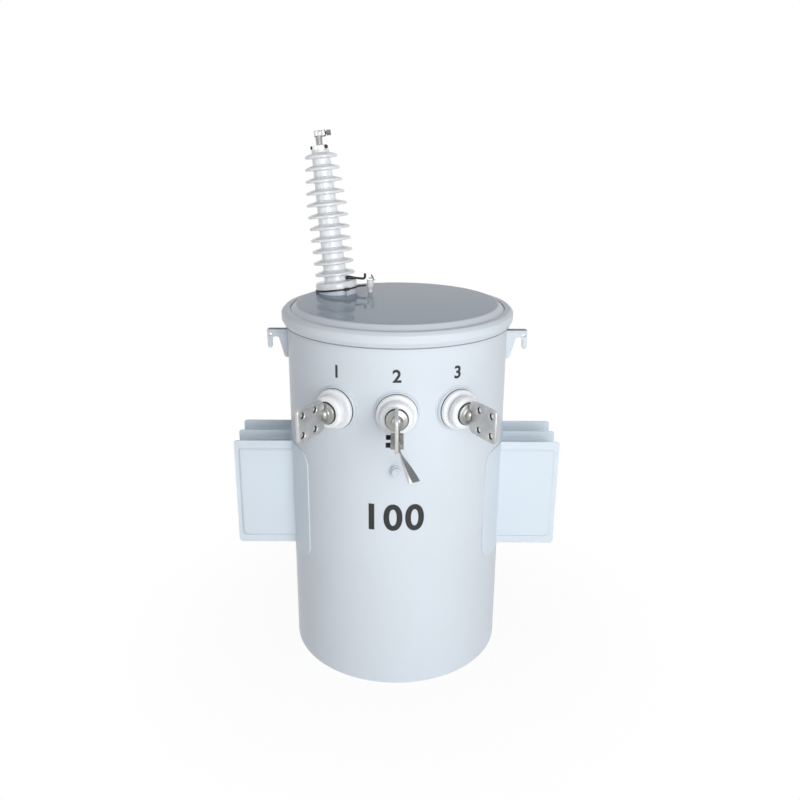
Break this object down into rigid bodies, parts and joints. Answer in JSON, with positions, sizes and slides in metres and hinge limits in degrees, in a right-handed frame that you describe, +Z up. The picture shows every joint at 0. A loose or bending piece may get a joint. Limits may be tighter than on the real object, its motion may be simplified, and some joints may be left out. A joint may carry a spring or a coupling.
{
  "type": "pole mounted transformer",
  "caption": "Round pole-type distribution transformer: tank with clamped cover, shedded high-voltage bushing, low-voltage bushings with four-hole pads and fin radiators.",
  "frame": {"origin": "centre of the tank's bottom face", "axes": "+Z up along the tank's axis; -Y is the front, where the low-voltage bushings are; +Y is the pole side; +X to the right seen from the front"},
  "size_m": [0.816, 0.75, 1.3132],
  "materials": {
    "tank_paint": "smooth gloss light grey enamel",
    "radiator_paint": "smooth gloss light grey enamel",
    "porcelain": "glossy light grey glaze",
    "gasket_rubber": "matte black",
    "black_steel": "satin black",
    "tinned_metal": "tinned, lightly brushed",
    "core_steel": "oil-wet silicon steel strip and mild steel feet",
    "winding_insulation": "oil-soaked paper wrapping",
    "bolt_steel": "zinc plated",
    "strap_metal": "dull tinned strap"
  },
  "bodies": {
    "root": {"band_bolt": "bolt_steel", "core_feet": "core_steel", "cover_band": "tank_paint", "gap_electrode": "bolt_steel", "gap_post": "tank_paint", "gap_rod": "black_steel", "ground_bolt": "bolt_steel", "ground_pad": "tank_paint", "ground_strap": "strap_metal", "hv_bushing": "porcelain", "hv_cap": "tinned_metal", "hv_clamp_ring": "black_steel", "hv_gasket": "gasket_rubber", "hv_neck": "tank_paint", "hv_stud": "tinned_metal", "hv_terminal": "tinned_metal", "hv_terminal_screw": "bolt_steel", "lid": "tank_paint", "lid_gasket": "gasket_rubber", "lifting_lug_left": "tank_paint", "lifting_lug_right": "tank_paint", "lv_boss_1": "tank_paint", "lv_boss_2": "tank_paint", "lv_boss_3": "tank_paint", "lv_bushing_1": "porcelain", "lv_bushing_2": "porcelain", "lv_bushing_3": "porcelain", "lv_hub_1": "tinned_metal", "lv_hub_2": "tinned_metal", "lv_hub_3": "tinned_metal", "lv_pad_1": "tinned_metal", "lv_pad_2": "tinned_metal", "lv_pad_3": "tinned_metal", "pole_bracket_lower": "tank_paint", "pole_bracket_upper": "tank_paint", "radiator_fin_left_1": "radiator_paint", "radiator_fin_left_2": "radiator_paint", "radiator_fin_left_3": "radiator_paint", "radiator_fin_right_1": "radiator_paint", "radiator_fin_right_2": "radiator_paint", "radiator_fin_right_3": "radiator_paint", "radiator_sheet_left": "radiator_paint", "radiator_sheet_right": "radiator_paint", "strap_bolts": "bolt_steel", "tank_bottom": "tank_paint", "tank_rim": "tank_paint", "tank_wall": "tank_paint", "transformer_core": "core_steel", "winding": "winding_insulation"}
  },
  "joints": []
}
